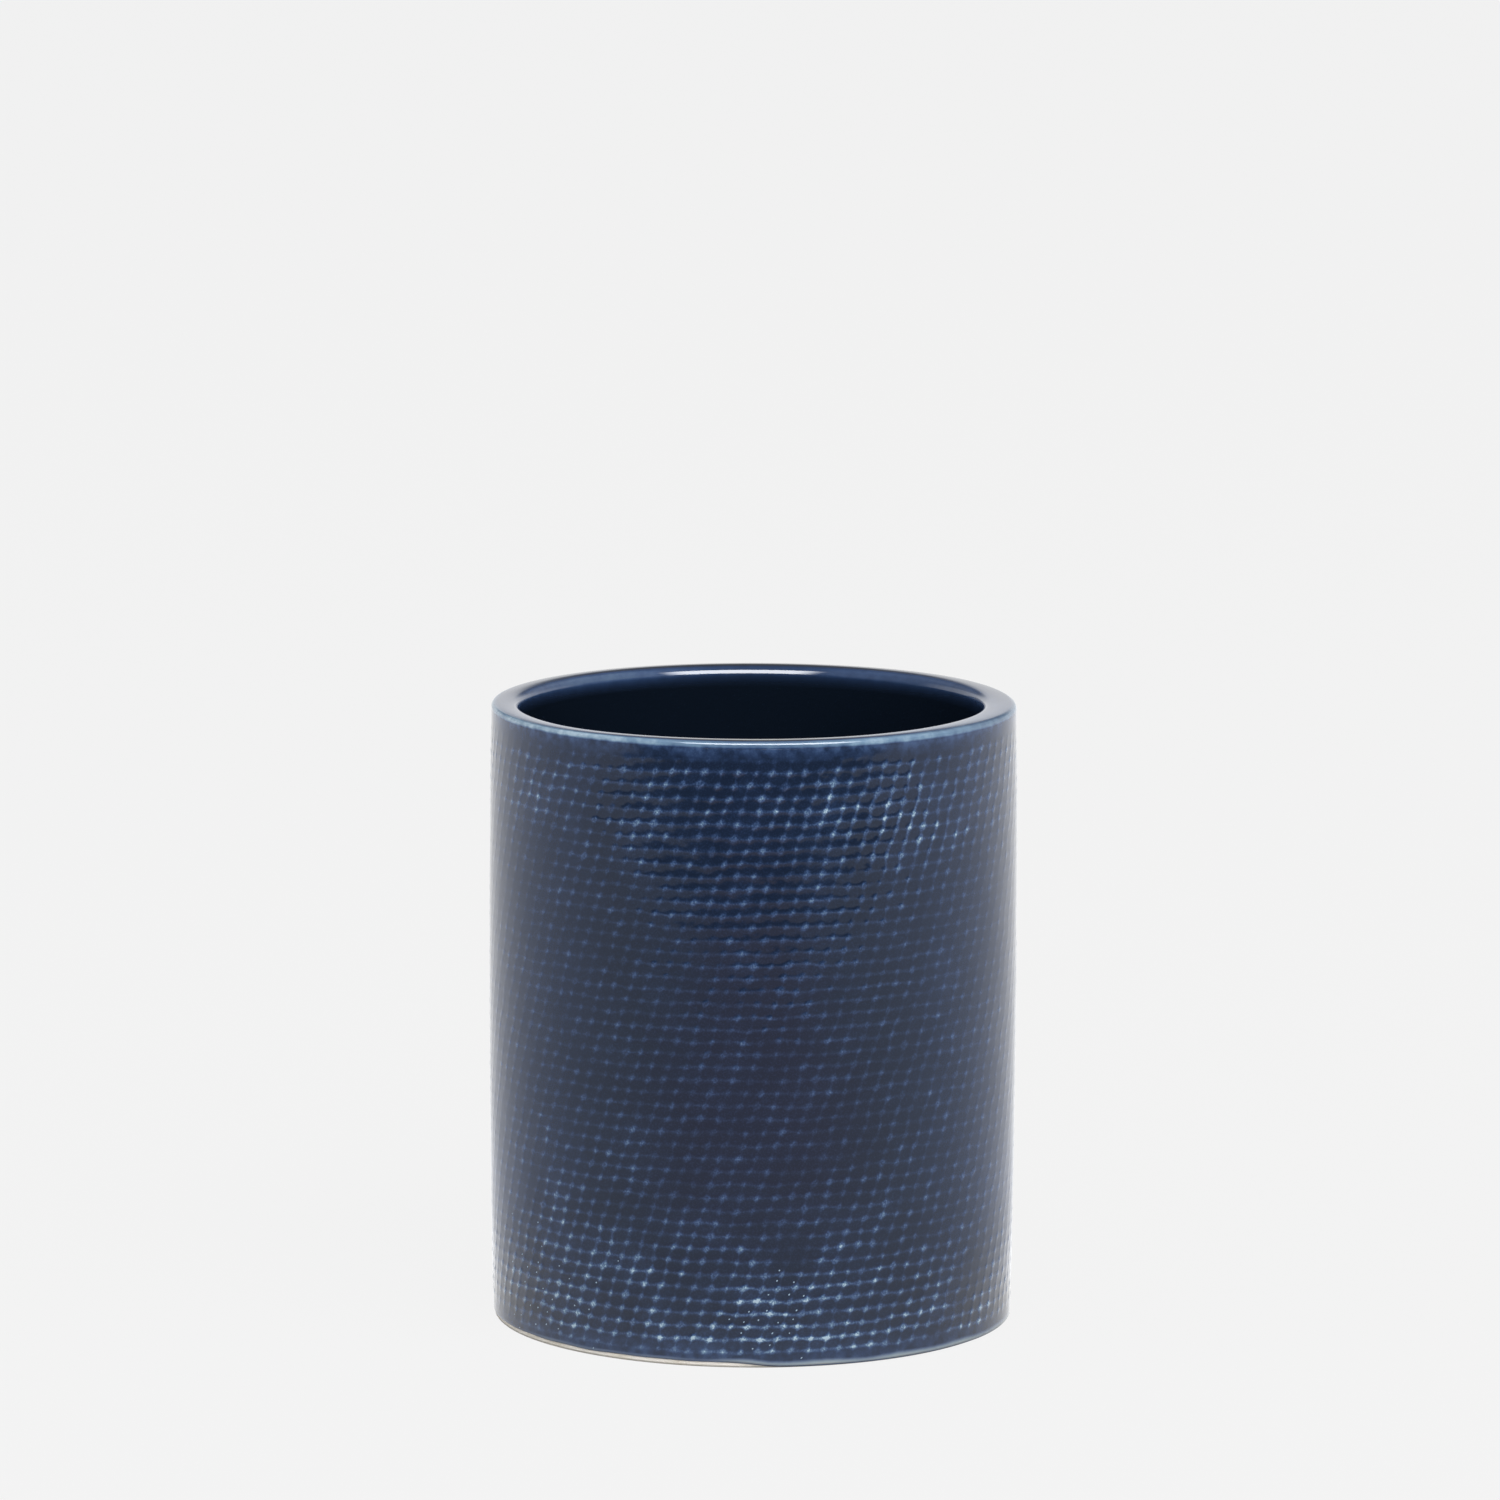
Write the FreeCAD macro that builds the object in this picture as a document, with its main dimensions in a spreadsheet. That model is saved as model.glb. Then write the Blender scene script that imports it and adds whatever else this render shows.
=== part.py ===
import FreeCAD, Part
import math
import os
import Sketcher

# A straight-sided ceramic cup that stands by a basin and holds brushes upright.
# It is one fired vessel: a thick clay body with a foot ring, and the three coats of
# glaze that the potter puts on it. The outer coat stops just above the table, so the
# foot is bare clay. The liner coat runs from the inside floor up and over the lip, and
# meets the outer coat face to face under the lip. The base coat lies in the recess.
# Millimetres, +Z up, origin on the table at the middle of the foot ring.

doc = FreeCAD.newDocument("brush_holder")

# What a maker would choose: name, millimetres, meaning.
driving_sizes = [
    ("overall_height", 102.0, "table to the top of the lip"),
    ("lip_radius", 43.08, "outside of the glaze where the lip starts to round over"),
    ("upper_swell", 0.33, "how far the wall swells past the lip at its widest"),
    ("lower_swell", 0.62, "how far the wall draws in again from its widest to the foot"),
    ("wall_thickness", 4.6, "glaze to glaze, under the lip"),
    ("lip_edge_round", 0.4, "tight rounding of the lip's outer edge"),
    ("lip_crown_width", 1.65, "outer part of the lip's top, which slopes to that edge"),
    ("lip_crown_drop", 0.23, "how far it slopes down"),
    ("floor_thickness", 6.2, "table to the inside floor"),
    ("floor_corner_round", 6.0, "rounding between the inside floor and the wall"),
    ("glaze_thickness", 0.25, "each coat of glaze"),
    ("bare_foot_height", 0.6, "bare clay that shows above the table"),
    ("foot_edge_round", 0.3, "softened edges of the foot ring"),
    ("foot_ring_width", 5.5, "outside of the foot to the recess"),
    ("recess_depth", 1.7, "table to the clay of the underside"),
    ("recess_corner_round", 0.5, "rounding in the corner of the recess"),
]

# Parts of one of those sizes, as a share of it.
driving_shares = [
    ("swell_height_share", 0.61, "the widest place, as a share of overall_height"),
    ("lip_inner_share", 0.35, "inner rounding of the lip, as a share of wall_thickness"),
]

# Places on the half section that follow: radii end in _r and heights in _z. The clay
# lies one coat inside the outer glaze and one coat behind the liner glaze. The crown of
# the lip and the rounding of its edge meet where both slope alike, at lip_slope.
derived_places = [
    ("lip_inner_round", "=wall_thickness * lip_inner_share"),
    ("lip_crown_round", "=(lip_crown_width ^ 2 + lip_crown_drop ^ 2) / (2 * lip_crown_drop)"),
    ("lip_slope", "=asin(lip_crown_width / lip_crown_round)"),
    ("lip_top_z", "=overall_height"),
    ("lip_edge_z", "=overall_height - lip_crown_drop"),
    ("lip_seam_z", "=lip_edge_z - lip_edge_round * cos(lip_slope)"),
    ("lip_inside_z", "=overall_height - lip_inner_round"),
    ("lip_seam_r", "=lip_radius"),
    ("lip_edge_r", "=lip_radius - lip_edge_round * (1 - sin(lip_slope))"),
    ("lip_crown_r", "=lip_edge_r - lip_crown_width"),
    ("bore_r", "=lip_radius - wall_thickness"),
    ("lip_inner_top_r", "=bore_r + lip_inner_round"),
    ("swell_r", "=lip_radius + upper_swell"),
    ("swell_z", "=overall_height * swell_height_share"),
    ("glaze_foot_r", "=swell_r - lower_swell"),
    ("glaze_foot_z", "=bare_foot_height + glaze_thickness"),
    ("floor_z", "=floor_thickness"),
    ("floor_corner_z", "=floor_thickness + floor_corner_round"),
    ("floor_corner_r", "=bore_r - floor_corner_round"),
    ("clay_lip_top_z", "=overall_height - glaze_thickness"),
    ("clay_lip_edge_z", "=lip_edge_z - glaze_thickness * cos(lip_slope)"),
    ("clay_lip_edge_r", "=lip_edge_r - glaze_thickness * sin(lip_slope)"),
    ("clay_lip_seam_r", "=lip_radius - glaze_thickness"),
    ("clay_bore_r", "=bore_r + glaze_thickness"),
    ("clay_swell_r", "=swell_r - glaze_thickness"),
    ("clay_foot_r", "=glaze_foot_r - glaze_thickness"),
    ("clay_floor_z", "=floor_thickness - glaze_thickness"),
    ("bare_foot_z", "=bare_foot_height"),
    ("foot_edge_z", "=foot_edge_round"),
    ("foot_contact_r", "=clay_foot_r - foot_edge_round"),
    ("recess_r", "=clay_foot_r - foot_ring_width"),
    ("recess_contact_r", "=recess_r + foot_edge_round"),
    ("recess_z", "=recess_depth"),
    ("recess_corner_z", "=recess_depth - recess_corner_round"),
    ("recess_corner_r", "=recess_r - recess_corner_round"),
    ("base_glaze_z", "=recess_depth - glaze_thickness"),
    ("base_glaze_r", "=recess_corner_r - glaze_thickness"),
]

sheet = doc.addObject("Spreadsheet::Sheet", "Sizes")
for number, row in enumerate(driving_sizes + driving_shares + derived_places, start=1):
    sheet.set("A%d" % number, row[0])
    sheet.set("B%d" % number, str(row[1]))
    sheet.setAlias("B%d" % number, row[0])
    if len(row) > 2:
        sheet.set("C%d" % number, row[2])
doc.recompute()


def place(name):
    """A place in millimetres, by its name in the sheet; axis and table are at zero."""
    return 0.0 if name in ("axis", "table") else float(sheet.get(name))


# The sketcher's own numbers for the points of an edge.
start_point, end_point, centre_point = range(1, 4)


def rounded_edge(start, end, centre_line, tangent_end):
    """An arc from start to end whose centre is level with tangent_end, or plumb with it.

    Sketched arcs run anticlockwise, so one that turns the other way is drawn from its
    end. Returns the arc and the numbers that the sketch gives to its start and its end.
    """
    middle = (start + end) / 2
    chord = end - start
    if centre_line == "level":
        level = tangent_end.y
        centre = FreeCAD.Vector(middle.x - chord.y * (level - middle.y) / chord.x, level, 0)
    else:
        plumb = tangent_end.x
        centre = FreeCAD.Vector(plumb, middle.y - chord.x * (plumb - middle.x) / chord.y, 0)
    circle = Part.Circle(centre, FreeCAD.Vector(0, 0, 1), (start - centre).Length)
    start_angle = math.atan2(start.y - centre.y, start.x - centre.x)
    end_angle = math.atan2(end.y - centre.y, end.x - centre.x)
    if (start - centre).cross(end - centre).z > 0:
        return Part.ArcOfCircle(circle, start_angle, end_angle), start_point, end_point
    return Part.ArcOfCircle(circle, end_angle, start_angle), end_point, start_point


def hold_corner(sketch, edge, end, radius, height):
    """Hold one end of an edge at its named radius and height, measured from the origin.

    The sketcher numbers its own axes too: -1 runs across, from the origin, and -2 up.
    """
    for kind, name, zero_name, zero_axis in (("DistanceX", radius, "axis", -2),
                                             ("DistanceY", height, "table", -1)):
        if name == zero_name:
            sketch.addConstraint(Sketcher.Constraint("PointOnObject", edge, end, zero_axis))
            continue
        number = sketch.addConstraint(
            Sketcher.Constraint(kind, -1, start_point, edge, end, place(name)))
        sketch.setExpression("Constraints[%d]" % number, "Sizes." + name)


def revolved_piece(label, outline):
    """A body turned about Z from a closed outline of the half section.

    Each step of the outline is the radius and the height of a corner, by name, and the
    edge that leaves it: "line", or for an arc, "round level here" or "round level there",
    where its centre is level with this corner or with the next one, and "round plumb here"
    or "round plumb there", where its centre is plumb with that corner.
    """
    body = doc.addObject("PartDesign::Body", label)
    body.Label = label
    upright = next(plane for plane in body.Origin.OriginFeatures if plane.Role == "XZ_Plane")
    sketch = body.newObject("Sketcher::SketchObject", label + "_section")
    sketch.AttachmentSupport = (upright, [""])
    sketch.MapMode = "FlatFace"

    corners = [FreeCAD.Vector(place(radius), place(height), 0)
               for radius, height, edge in outline]
    ends = []
    for number, (radius, height, edge) in enumerate(outline):
        start, end = corners[number], corners[(number + 1) % len(corners)]
        if edge == "line":
            geometry, first, last = Part.LineSegment(start, end), start_point, end_point
        else:
            centre_line = "level" if "level" in edge else "plumb"
            tangent_end = end if edge.endswith("there") else start
            geometry, first, last = rounded_edge(start, end, centre_line, tangent_end)
        sketch.addGeometry(geometry, False)
        ends.append((first, last))

    for number, (radius, height, edge) in enumerate(outline):
        first, last = ends[number]
        following = (number + 1) % len(outline)
        sketch.addConstraint(Sketcher.Constraint(
            "Coincident", number, last, following, ends[following][0]))
        hold_corner(sketch, number, first, radius, height)
        if edge != "line":
            tangent_end = last if edge.endswith("there") else first
            sketch.addConstraint(Sketcher.Constraint(
                "Horizontal" if "level" in edge else "Vertical",
                number, centre_point, number, tangent_end))

    turned = body.newObject("PartDesign::Revolution", label + "_turned")
    turned.Profile = sketch
    turned.ReferenceAxis = (sketch, ["V_Axis"])
    turned.Angle = 360.0
    body.Placement = FreeCAD.Placement()
    return body


# The fired clay: foot ring and recess below, swelling wall, rounded lip, bore and floor.
clay_body = revolved_piece("clay_body", [
    ("foot_contact_r", "table", "round level there"),
    ("clay_foot_r", "foot_edge_z", "line"),
    ("clay_foot_r", "glaze_foot_z", "round level there"),
    ("clay_swell_r", "swell_z", "round level here"),
    ("clay_lip_seam_r", "lip_seam_z", "round level here"),
    ("clay_lip_edge_r", "clay_lip_edge_z", "round plumb there"),
    ("lip_crown_r", "clay_lip_top_z", "line"),
    ("lip_inner_top_r", "clay_lip_top_z", "round level there"),
    ("clay_bore_r", "lip_inside_z", "line"),
    ("clay_bore_r", "floor_corner_z", "round level here"),
    ("floor_corner_r", "clay_floor_z", "line"),
    ("axis", "clay_floor_z", "line"),
    ("axis", "recess_z", "line"),
    ("recess_corner_r", "recess_z", "round level there"),
    ("recess_r", "recess_corner_z", "line"),
    ("recess_r", "foot_edge_z", "round level here"),
    ("recess_contact_r", "table", "line"),
])

# The outer coat, from its rolled lower edge above the bare foot up to the lip.
outer_glaze = revolved_piece("outer_glaze", [
    ("clay_foot_r", "bare_foot_z", "round level there"),
    ("glaze_foot_r", "glaze_foot_z", "round level there"),
    ("swell_r", "swell_z", "round level here"),
    ("lip_seam_r", "lip_seam_z", "line"),
    ("clay_lip_seam_r", "lip_seam_z", "round level there"),
    ("clay_swell_r", "swell_z", "round level here"),
    ("clay_foot_r", "glaze_foot_z", "line"),
])

# The liner coat, over the lip, down the bore and across the inside floor.
liner_glaze = revolved_piece("liner_glaze", [
    ("lip_seam_r", "lip_seam_z", "round level here"),
    ("lip_edge_r", "lip_edge_z", "round plumb there"),
    ("lip_crown_r", "lip_top_z", "line"),
    ("lip_inner_top_r", "lip_top_z", "round level there"),
    ("bore_r", "lip_inside_z", "line"),
    ("bore_r", "floor_corner_z", "round level here"),
    ("floor_corner_r", "floor_z", "line"),
    ("axis", "floor_z", "line"),
    ("axis", "clay_floor_z", "line"),
    ("floor_corner_r", "clay_floor_z", "round level there"),
    ("clay_bore_r", "floor_corner_z", "line"),
    ("clay_bore_r", "lip_inside_z", "round level here"),
    ("lip_inner_top_r", "clay_lip_top_z", "line"),
    ("lip_crown_r", "clay_lip_top_z", "round plumb here"),
    ("clay_lip_edge_r", "clay_lip_edge_z", "round level there"),
    ("clay_lip_seam_r", "lip_seam_z", "line"),
])

# The coat on the underside: a disc in the recess, with its edge rolled down to the clay.
base_glaze = revolved_piece("base_glaze", [
    ("axis", "recess_z", "line"),
    ("axis", "base_glaze_z", "line"),
    ("base_glaze_r", "base_glaze_z", "round level there"),
    ("recess_corner_r", "recess_z", "line"),
])

pieces = [clay_body, outer_glaze, liner_glaze, base_glaze]
doc.recompute()

for item in doc.Objects:
    if "Invalid" in item.State or "Error" in item.State:
        raise RuntimeError("%s did not build: %s" % (item.Label, item.State))
for piece in pieces:
    if piece.Shape.isNull() or not piece.Shape.isValid():
        raise RuntimeError("%s has no valid shape" % piece.Label)

os.makedirs("parts", exist_ok=True)
for piece in pieces:
    piece.Shape.exportStep("parts/%s.step" % piece.Label)
    box = piece.Shape.optimalBoundingBox()
    print("%-12s %9.1f mm3, radius %.2f, height %.2f to %.2f"
          % (piece.Label, piece.Shape.Volume, box.XMax, box.ZMin, box.ZMax))
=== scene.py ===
import math
import bpy
import numpy as np
from mathutils import Matrix, Vector


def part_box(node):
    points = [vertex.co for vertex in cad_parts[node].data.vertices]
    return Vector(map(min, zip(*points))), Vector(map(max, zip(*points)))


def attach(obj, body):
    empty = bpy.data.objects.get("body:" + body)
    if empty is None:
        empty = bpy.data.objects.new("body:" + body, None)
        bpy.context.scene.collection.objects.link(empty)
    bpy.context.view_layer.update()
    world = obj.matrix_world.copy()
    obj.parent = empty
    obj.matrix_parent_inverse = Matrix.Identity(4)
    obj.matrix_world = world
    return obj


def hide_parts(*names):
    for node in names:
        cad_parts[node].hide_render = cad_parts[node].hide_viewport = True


# A ceramic brush holder: a thick cup whose outside was pressed with open cloth and glazed
# navy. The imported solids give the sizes. This script gives the glazed surfaces their
# relief, their unevenness and their finish. Sizes in the dictionaries are millimetres.
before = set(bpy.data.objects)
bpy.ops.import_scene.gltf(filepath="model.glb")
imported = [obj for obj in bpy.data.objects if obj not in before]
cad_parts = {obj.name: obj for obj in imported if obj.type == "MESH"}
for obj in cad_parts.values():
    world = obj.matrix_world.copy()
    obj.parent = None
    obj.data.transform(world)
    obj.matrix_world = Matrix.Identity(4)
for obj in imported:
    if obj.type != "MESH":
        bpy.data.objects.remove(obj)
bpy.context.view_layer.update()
mm = 0.001
_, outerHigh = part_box("outer_glaze")
linerLow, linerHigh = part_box("liner_glaze")
print("frame: nodes", ", ".join(sorted(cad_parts)))


# Camera

view = {
    "distance": 1393.6,      # in front of the cup's axis
    "aside": -0.7,
    "height": 317.8,         # above the table
    "lookDown": 9.127,       # degrees
    "lookRight": 0.0027,
    "roll": 0.2224,
    "lens": 206.41,          # a long lens on a 36 mm sensor
}


def addCamera():
    down, right, roll = (math.radians(view[key]) for key in ("lookDown", "lookRight", "roll"))
    level = math.cos(down)
    ahead = Vector((math.sin(right) * level, math.cos(right) * level, -math.sin(down)))
    across = ahead.cross(Vector((0, 0, 1))).normalized()
    over = across.cross(ahead)
    side = math.cos(roll) * across + math.sin(roll) * over
    turned = Matrix((side, side.cross(ahead), -ahead)).transposed().to_4x4()
    lens = bpy.data.cameras.new("productCamera")
    lens.lens = view["lens"]
    camera = bpy.data.objects.new("productCamera", lens)
    place = Vector((view["aside"], -view["distance"], view["height"])) * mm
    camera.matrix_world = Matrix.Translation(place) @ turned
    bpy.context.scene.collection.objects.link(camera)
    bpy.context.scene.camera = camera
    bpy.context.scene.view_settings.view_transform = "Standard"


addCamera()
print("camera: placed")


# Node helpers

smooth = {"interpolation_type": "SMOOTHSTEP"}
smoother = {"interpolation_type": "SMOOTHERSTEP"}


def colour(hexCode):  # sRGB hex to the linear numbers that a shader wants
    parts = [int(hexCode[i:i + 2], 16) / 255 for i in (1, 3, 5)]
    return [p / 12.92 if p <= 0.04045 else ((p + 0.055) / 1.055) ** 2.4 for p in parts] + [1]


def metres(sizes):
    return tuple(size * mm for size in sizes)


def grey(strength):
    return (strength, strength, strength, 1)


def addNode(tree, kind, links=(), stops=(), **settings):
    # links are what goes into the sockets: a list in their order, or a dictionary by name.
    # stops are the places and colours of a colour ramp.
    node = tree.nodes.new("ShaderNode" + kind)
    for key, value in settings.items():
        setattr(node, key, value)
    for socket, source in links.items() if isinstance(links, dict) else enumerate(links):
        if isinstance(source, bpy.types.Node):
            source = source.outputs[0]
        if isinstance(source, bpy.types.NodeSocket):
            tree.links.new(source, node.inputs[socket])
        else:
            node.inputs[socket].default_value = source
    for _ in stops[2:]:  # a new ramp has two
        node.color_ramp.elements.new(0.5)
    for index, (position, shade) in enumerate(stops):
        node.color_ramp.elements[index].position = position
        node.color_ramp.elements[index].color = colour(shade)
    return node


def newMaterial(name):
    material = bpy.data.materials.new(name)
    material.use_nodes = True
    material.node_tree.nodes.clear()
    return material, material.node_tree


# Mesh helper

def turnedMesh(name, radius, height, clothPlace=None, twist=None, poles=None, flatRings=(),
               skin=None):
    # A closed mesh turned about Z. radius and height hold one row per ring, in mm, with the
    # first column repeated at the end. The rings run up the outside and down the inside, and
    # end at the poles, if there are any. A mesh with poles gets no maps.
    rings, columns = radius.shape[0], radius.shape[1] - 1
    azimuth = np.linspace(-math.pi, math.pi, columns + 1)[None, :]
    azimuth = azimuth + (0 if twist is None else twist[:, None])
    points = np.stack([radius * np.sin(azimuth), -radius * np.cos(azimuth), height], -1)[:, :-1]
    points = points.reshape(-1, 3) * mm
    ringSteps = rings if poles is None else rings - 1
    ring, column = np.meshgrid(np.arange(ringSteps), np.arange(columns), indexing="ij")
    ring, column = ring.ravel(), column.ravel()
    cornerRing = np.stack([ring, ring, ring + 1, ring + 1], -1)
    cornerColumn = np.stack([column, column + 1, column + 1, column], -1)
    quads = (cornerRing % rings) * columns + cornerColumn % columns
    faces = quads.tolist()
    flat = np.isin(ring, flatRings).tolist()
    uvRing, uvColumn = cornerRing.ravel(), cornerColumn.ravel()
    if poles is not None:
        first, last = len(points), len(points) + 1
        points = np.vstack([points, [(0, 0, poles[0] * mm), (0, 0, poles[1] * mm)]])
        edge = np.arange(columns)
        lower = np.stack([np.full(columns, first), (edge + 1) % columns, edge], -1)
        top = (rings - 1) * columns
        upper = np.stack([top + edge, top + (edge + 1) % columns, np.full(columns, last)], -1)
        faces += lower.tolist() + upper.tolist()
        flat += [False] * (2 * columns)
    mesh = bpy.data.meshes.new(name)
    mesh.from_pydata(points.tolist(), [], faces)
    mesh.polygons.foreach_set("use_smooth", [not f for f in flat])
    if skin is not None:  # most of the map goes to the rings of the skin that shows
        share = np.interp(np.arange(rings + 1), [0, skin[0], skin[1], rings],
                          [0.02, 0.05, 0.97, 0.99])
        bakeMap = np.stack([uvColumn / columns, share[uvRing]], -1)
        mesh.uv_layers.new(name="OFBake").data.foreach_set("uv", bakeMap.ravel())
    if clothPlace is not None:
        threads = np.stack([place[uvRing % rings, uvColumn] for place in clothPlace], -1)
        mesh.uv_layers.new(name="cloth").data.foreach_set("uv", threads.ravel())
    mesh.update()
    piece = bpy.data.objects.new(name, mesh)
    bpy.context.scene.collection.objects.link(piece)
    return piece


def setField(piece, name, values):
    # one number per point, which a material can read by name
    field = piece.data.attributes.new(name, "FLOAT", "POINT")
    field.data.foreach_set("value", values.astype(np.float32))


def softWaves(azimuth, height, size, seed):
    # Smooth uneven waves from about -1 to 1, size mm across, that close round the cup
    chance = np.random.default_rng(seed)
    total = np.zeros(np.broadcast(azimuth, height).shape)
    waves = 14
    around = 2 * math.pi * cup["swellRadius"] / size
    for _ in range(waves):
        turnsRound = round(chance.uniform(-1, 1) * around)
        turnsUp = chance.uniform(0.3, 1.0) / size
        phase = chance.uniform(0, 2 * math.pi)
        total += np.cos(turnsRound * azimuth + 2 * math.pi * turnsUp * height + phase)
    return total / math.sqrt(waves)


def manyWaves(azimuth, height, waves):  # how much, size and seed of each
    return sum(much * softWaves(azimuth, height, size, seed) for much, size, seed in waves)


# The cup's own form, as in the solids, but with a rounder lip

cup = {
    "lipTop": linerHigh.z / mm,
    "lipRadius": linerHigh.x / mm,
    "swellRadius": outerHigh.x / mm,
    "swellHeightShare": 0.61,    # the widest place, of the lip's height
    "footDrawIn": 0.62,          # how far the wall draws in again below it
    "wall": 4.6,
    "glaze": 0.25,
    "seam": outerHigh.z / mm - 0.45,  # where the two coats meet, just under the lip's rounding
    "closeRing": 0.01,           # a ring so near the seam keeps the shading level up to it
    "insideFloor": linerLow.z / mm + 0.25,
    "floorCorner": 6.0,
    "lipInnerRound": 1.4,
    "lipCrownRound": 9.5,        # the lip's top is a little domed
    "lipCrownTilt": 8,           # degrees that it slopes where the outer edge begins
    "lipMiddle": 2,              # in from the outside, where the look of the inside begins
}
cup["swellHeight"] = cup["lipTop"] * cup["swellHeightShare"]


def wallRadius(height):
    above = (height - cup["swellHeight"]) / (cup["seam"] - cup["swellHeight"])
    below = (cup["swellHeight"] - height) / cup["swellHeight"]
    fall = np.where(above > 0, (cup["swellRadius"] - cup["lipRadius"]) * above ** 2,
                    cup["footDrawIn"] * below ** 2)
    return cup["swellRadius"] - fall


# The cloth that was pressed into the wall

cloth = {
    "columnsRound": 99,      # upright threads once round, which makes them 2.75 mm apart
    "rowPitch": 2.102,
    "lean": 19.2,            # degrees that the upright threads lean to the right
    "rowsClimb": 2,          # rows that the cloth climbs in one turn
    "rowStart": -0.30,
    "columnStart": 0.2,
    "nubHeight": 0.075,      # at full pressure
    "nubWidth": 0.42,
    "nubTall": 0.50,
    "ridgeHeight": 0.028,
    "ridgeWidth": 0.35,
    "columnRidgeShare": 0.8,
    "columnDrift": 0.2,      # threads that the columns lean out by at the sides
    "columnStraight": (0.35, 0.6),   # from this share of the height, over this much
    "footShift": (0.18, 8),  # and how far they turn back at the foot, over this height
    "columnWaves": [(0.05, 30, 5), (0.07, 6, 15)],
    "rowSway": (0.12, 0.93),     # how the rows bow, and at what share of the height most
    "rowTilt": 0.15,
    "rowWaves": [(0.05, 26, 6), (0.06, 7, 16)],
    "plainTop": (99.4, 2),   # the print stops at this height, and fades over this much
    "plainFoot": (1.9, 1.2),
    "pressBase": 0.40,
    "pressBands": [(0.45, 93, 13), (0.80, 7, 12)],   # how much, height, size
    "pressWaves": [(0.20, 14, 7), (0.12, 6, 17)],
    "pressRange": (0.08, 1.5),
    "seed": 742,
}
columnPitch = 2 * math.pi * cup["swellRadius"] / cloth["columnsRound"]
leanStep = math.tan(math.radians(cloth["lean"])) / columnPitch  # threads for each mm up
# Where the cloth was pressed harder or lighter by hand: azimuth, height, size, how much.
# Azimuth is in degrees, 0 at the front and growing to the right.
pressPatches = [
    (28, 91, 11, 0.25), (4, 72, 7, 0.15), (-12, 88, 8, -0.20), (-68, 86, 20, -0.22),
    (70, 82, 18, -0.18),
    (12, 8, 16, 0.20), (-40, 12, 14, 0.20), (58, 13, 5, -0.60), (8.5, 18.5, 4.2, -0.85),
    (-10, 11.5, 3, -0.5), (-25, 5, 6, -0.2),
    (-48, 32, 16, 0.18), (5, 48, 24, -0.10), (120, 80, 12, 0.25), (165, 20, 14, 0.25),
    (-120, 60, 12, 0.2),
    (-150, 92, 10, 0.2), (95, 50, 9, -0.1), (-170, 50, 12, -0.12),
    (-97, 13, 15, -0.45), (97, 13, 15, -0.45), (-97, 88, 15, -0.25), (97, 88, 15, -0.25),
]
# Where air stayed in the pits when the glaze went on, and left pinholes: azimuth, height, size
airPatches = [(4, 8, 7), (-50, 8, 8), (128, 10, 6), (-140, 84, 4)]
# Where the glaze ran thinner or thicker on the lip: azimuth, height, size, how much
outerLipPatches = [(-50, 102, 22, 0.14), (1, 102, 14, -0.24), (30, 102, 10, 0.06),
                   (62, 102, 14, -0.12), (150, 102, 25, 0.1)]
crownPatches = [(0, 102, 18, -0.30), (60, 102, 20, 0.18), (-60, 102, 16, 0.12),
                (180, 102, 50, -0.24)]
innerLipPatches = [(-138, 102, 15, 0.12), (128, 102, 14, -0.04), (178, 102, 18, -0.14)]
# Where the upright threads were pressed deeper, so the ridges between them stand out
columnPatches = [(36, 88, 10, 0.9), (16, 90, 6, 0.4), (-28, 20, 9, 0.4), (30, 45, 14, 0.4),
                 (170, 60, 16, 0.8)]
# and the level ones
rowPatches = [
    (6, 6, 11, 0.8), (24, 6, 8, 0.35), (-16, 3, 7, 0.3), (20, 60, 14, 0.5), (-5, 62, 12, 0.5),
    (-50, 6, 7, 0.3), (48, 5, 8, 0.35), (140, 30, 16, 0.5), (-130, 70, 16, 0.5), (175, 8, 12, 0.8),
]


def footEdgeHeight(azimuth):
    # The outer coat stops higher on the left half, and runs nearly to the table on the right
    turn, soft = outerCoat["edgeTurn"]
    less, wide = outerCoat["edgeBack"]
    high = 1 / (1 + np.exp(np.sin(azimuth - turn) / soft))
    high = high * (1 - less * np.exp(-((np.abs(azimuth) - math.pi) / wide) ** 2))
    wander = manyWaves(azimuth, 0 * azimuth, outerCoat["edgeWaves"])
    rise = (outerCoat["edgeHigh"] - outerCoat["edgeLow"]) * high
    return outerCoat["edgeLow"] + rise + wander * (outerCoat["edgeWaveLow"] + high)


def footRun(azimuth):
    # the glaze ran thin over the foot on the right half, and stopped short on the left
    turn, soft = outerCoat["runTurn"]
    least, more = outerCoat["run"]
    ran = 1 / (1 + np.exp(-np.sin(azimuth + turn) / soft))
    return least + more * ran + manyWaves(azimuth, 0 * azimuth, outerCoat["runWaves"])


def lipThinness(azimuth, radius, height):
    # the glaze is thinnest on the outer corner, thicker over the crown and thin again inside
    inward = cup["lipRadius"] - radius
    corner = np.interp(inward, glazeLook["lipCorner"], [1, 0])
    inside = np.interp(inward, glazeLook["lipInside"], [0, 1])
    top = cup["lipTop"] + 0 * azimuth
    outer = glazeLook["lipBreak"] + patchField(azimuth, top, outerLipPatches)
    crown = glazeLook["lipBreakCrown"] + patchField(azimuth, top, crownPatches)
    inner = glazeLook["lipBreakInside"] + patchField(azimuth, top, innerLipPatches)
    runDown = np.interp(cup["lipTop"] - height, *glazeLook["lipRunDown"])
    return outer * corner + inner * inside * runDown + crown * (1 - corner - inside)


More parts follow.
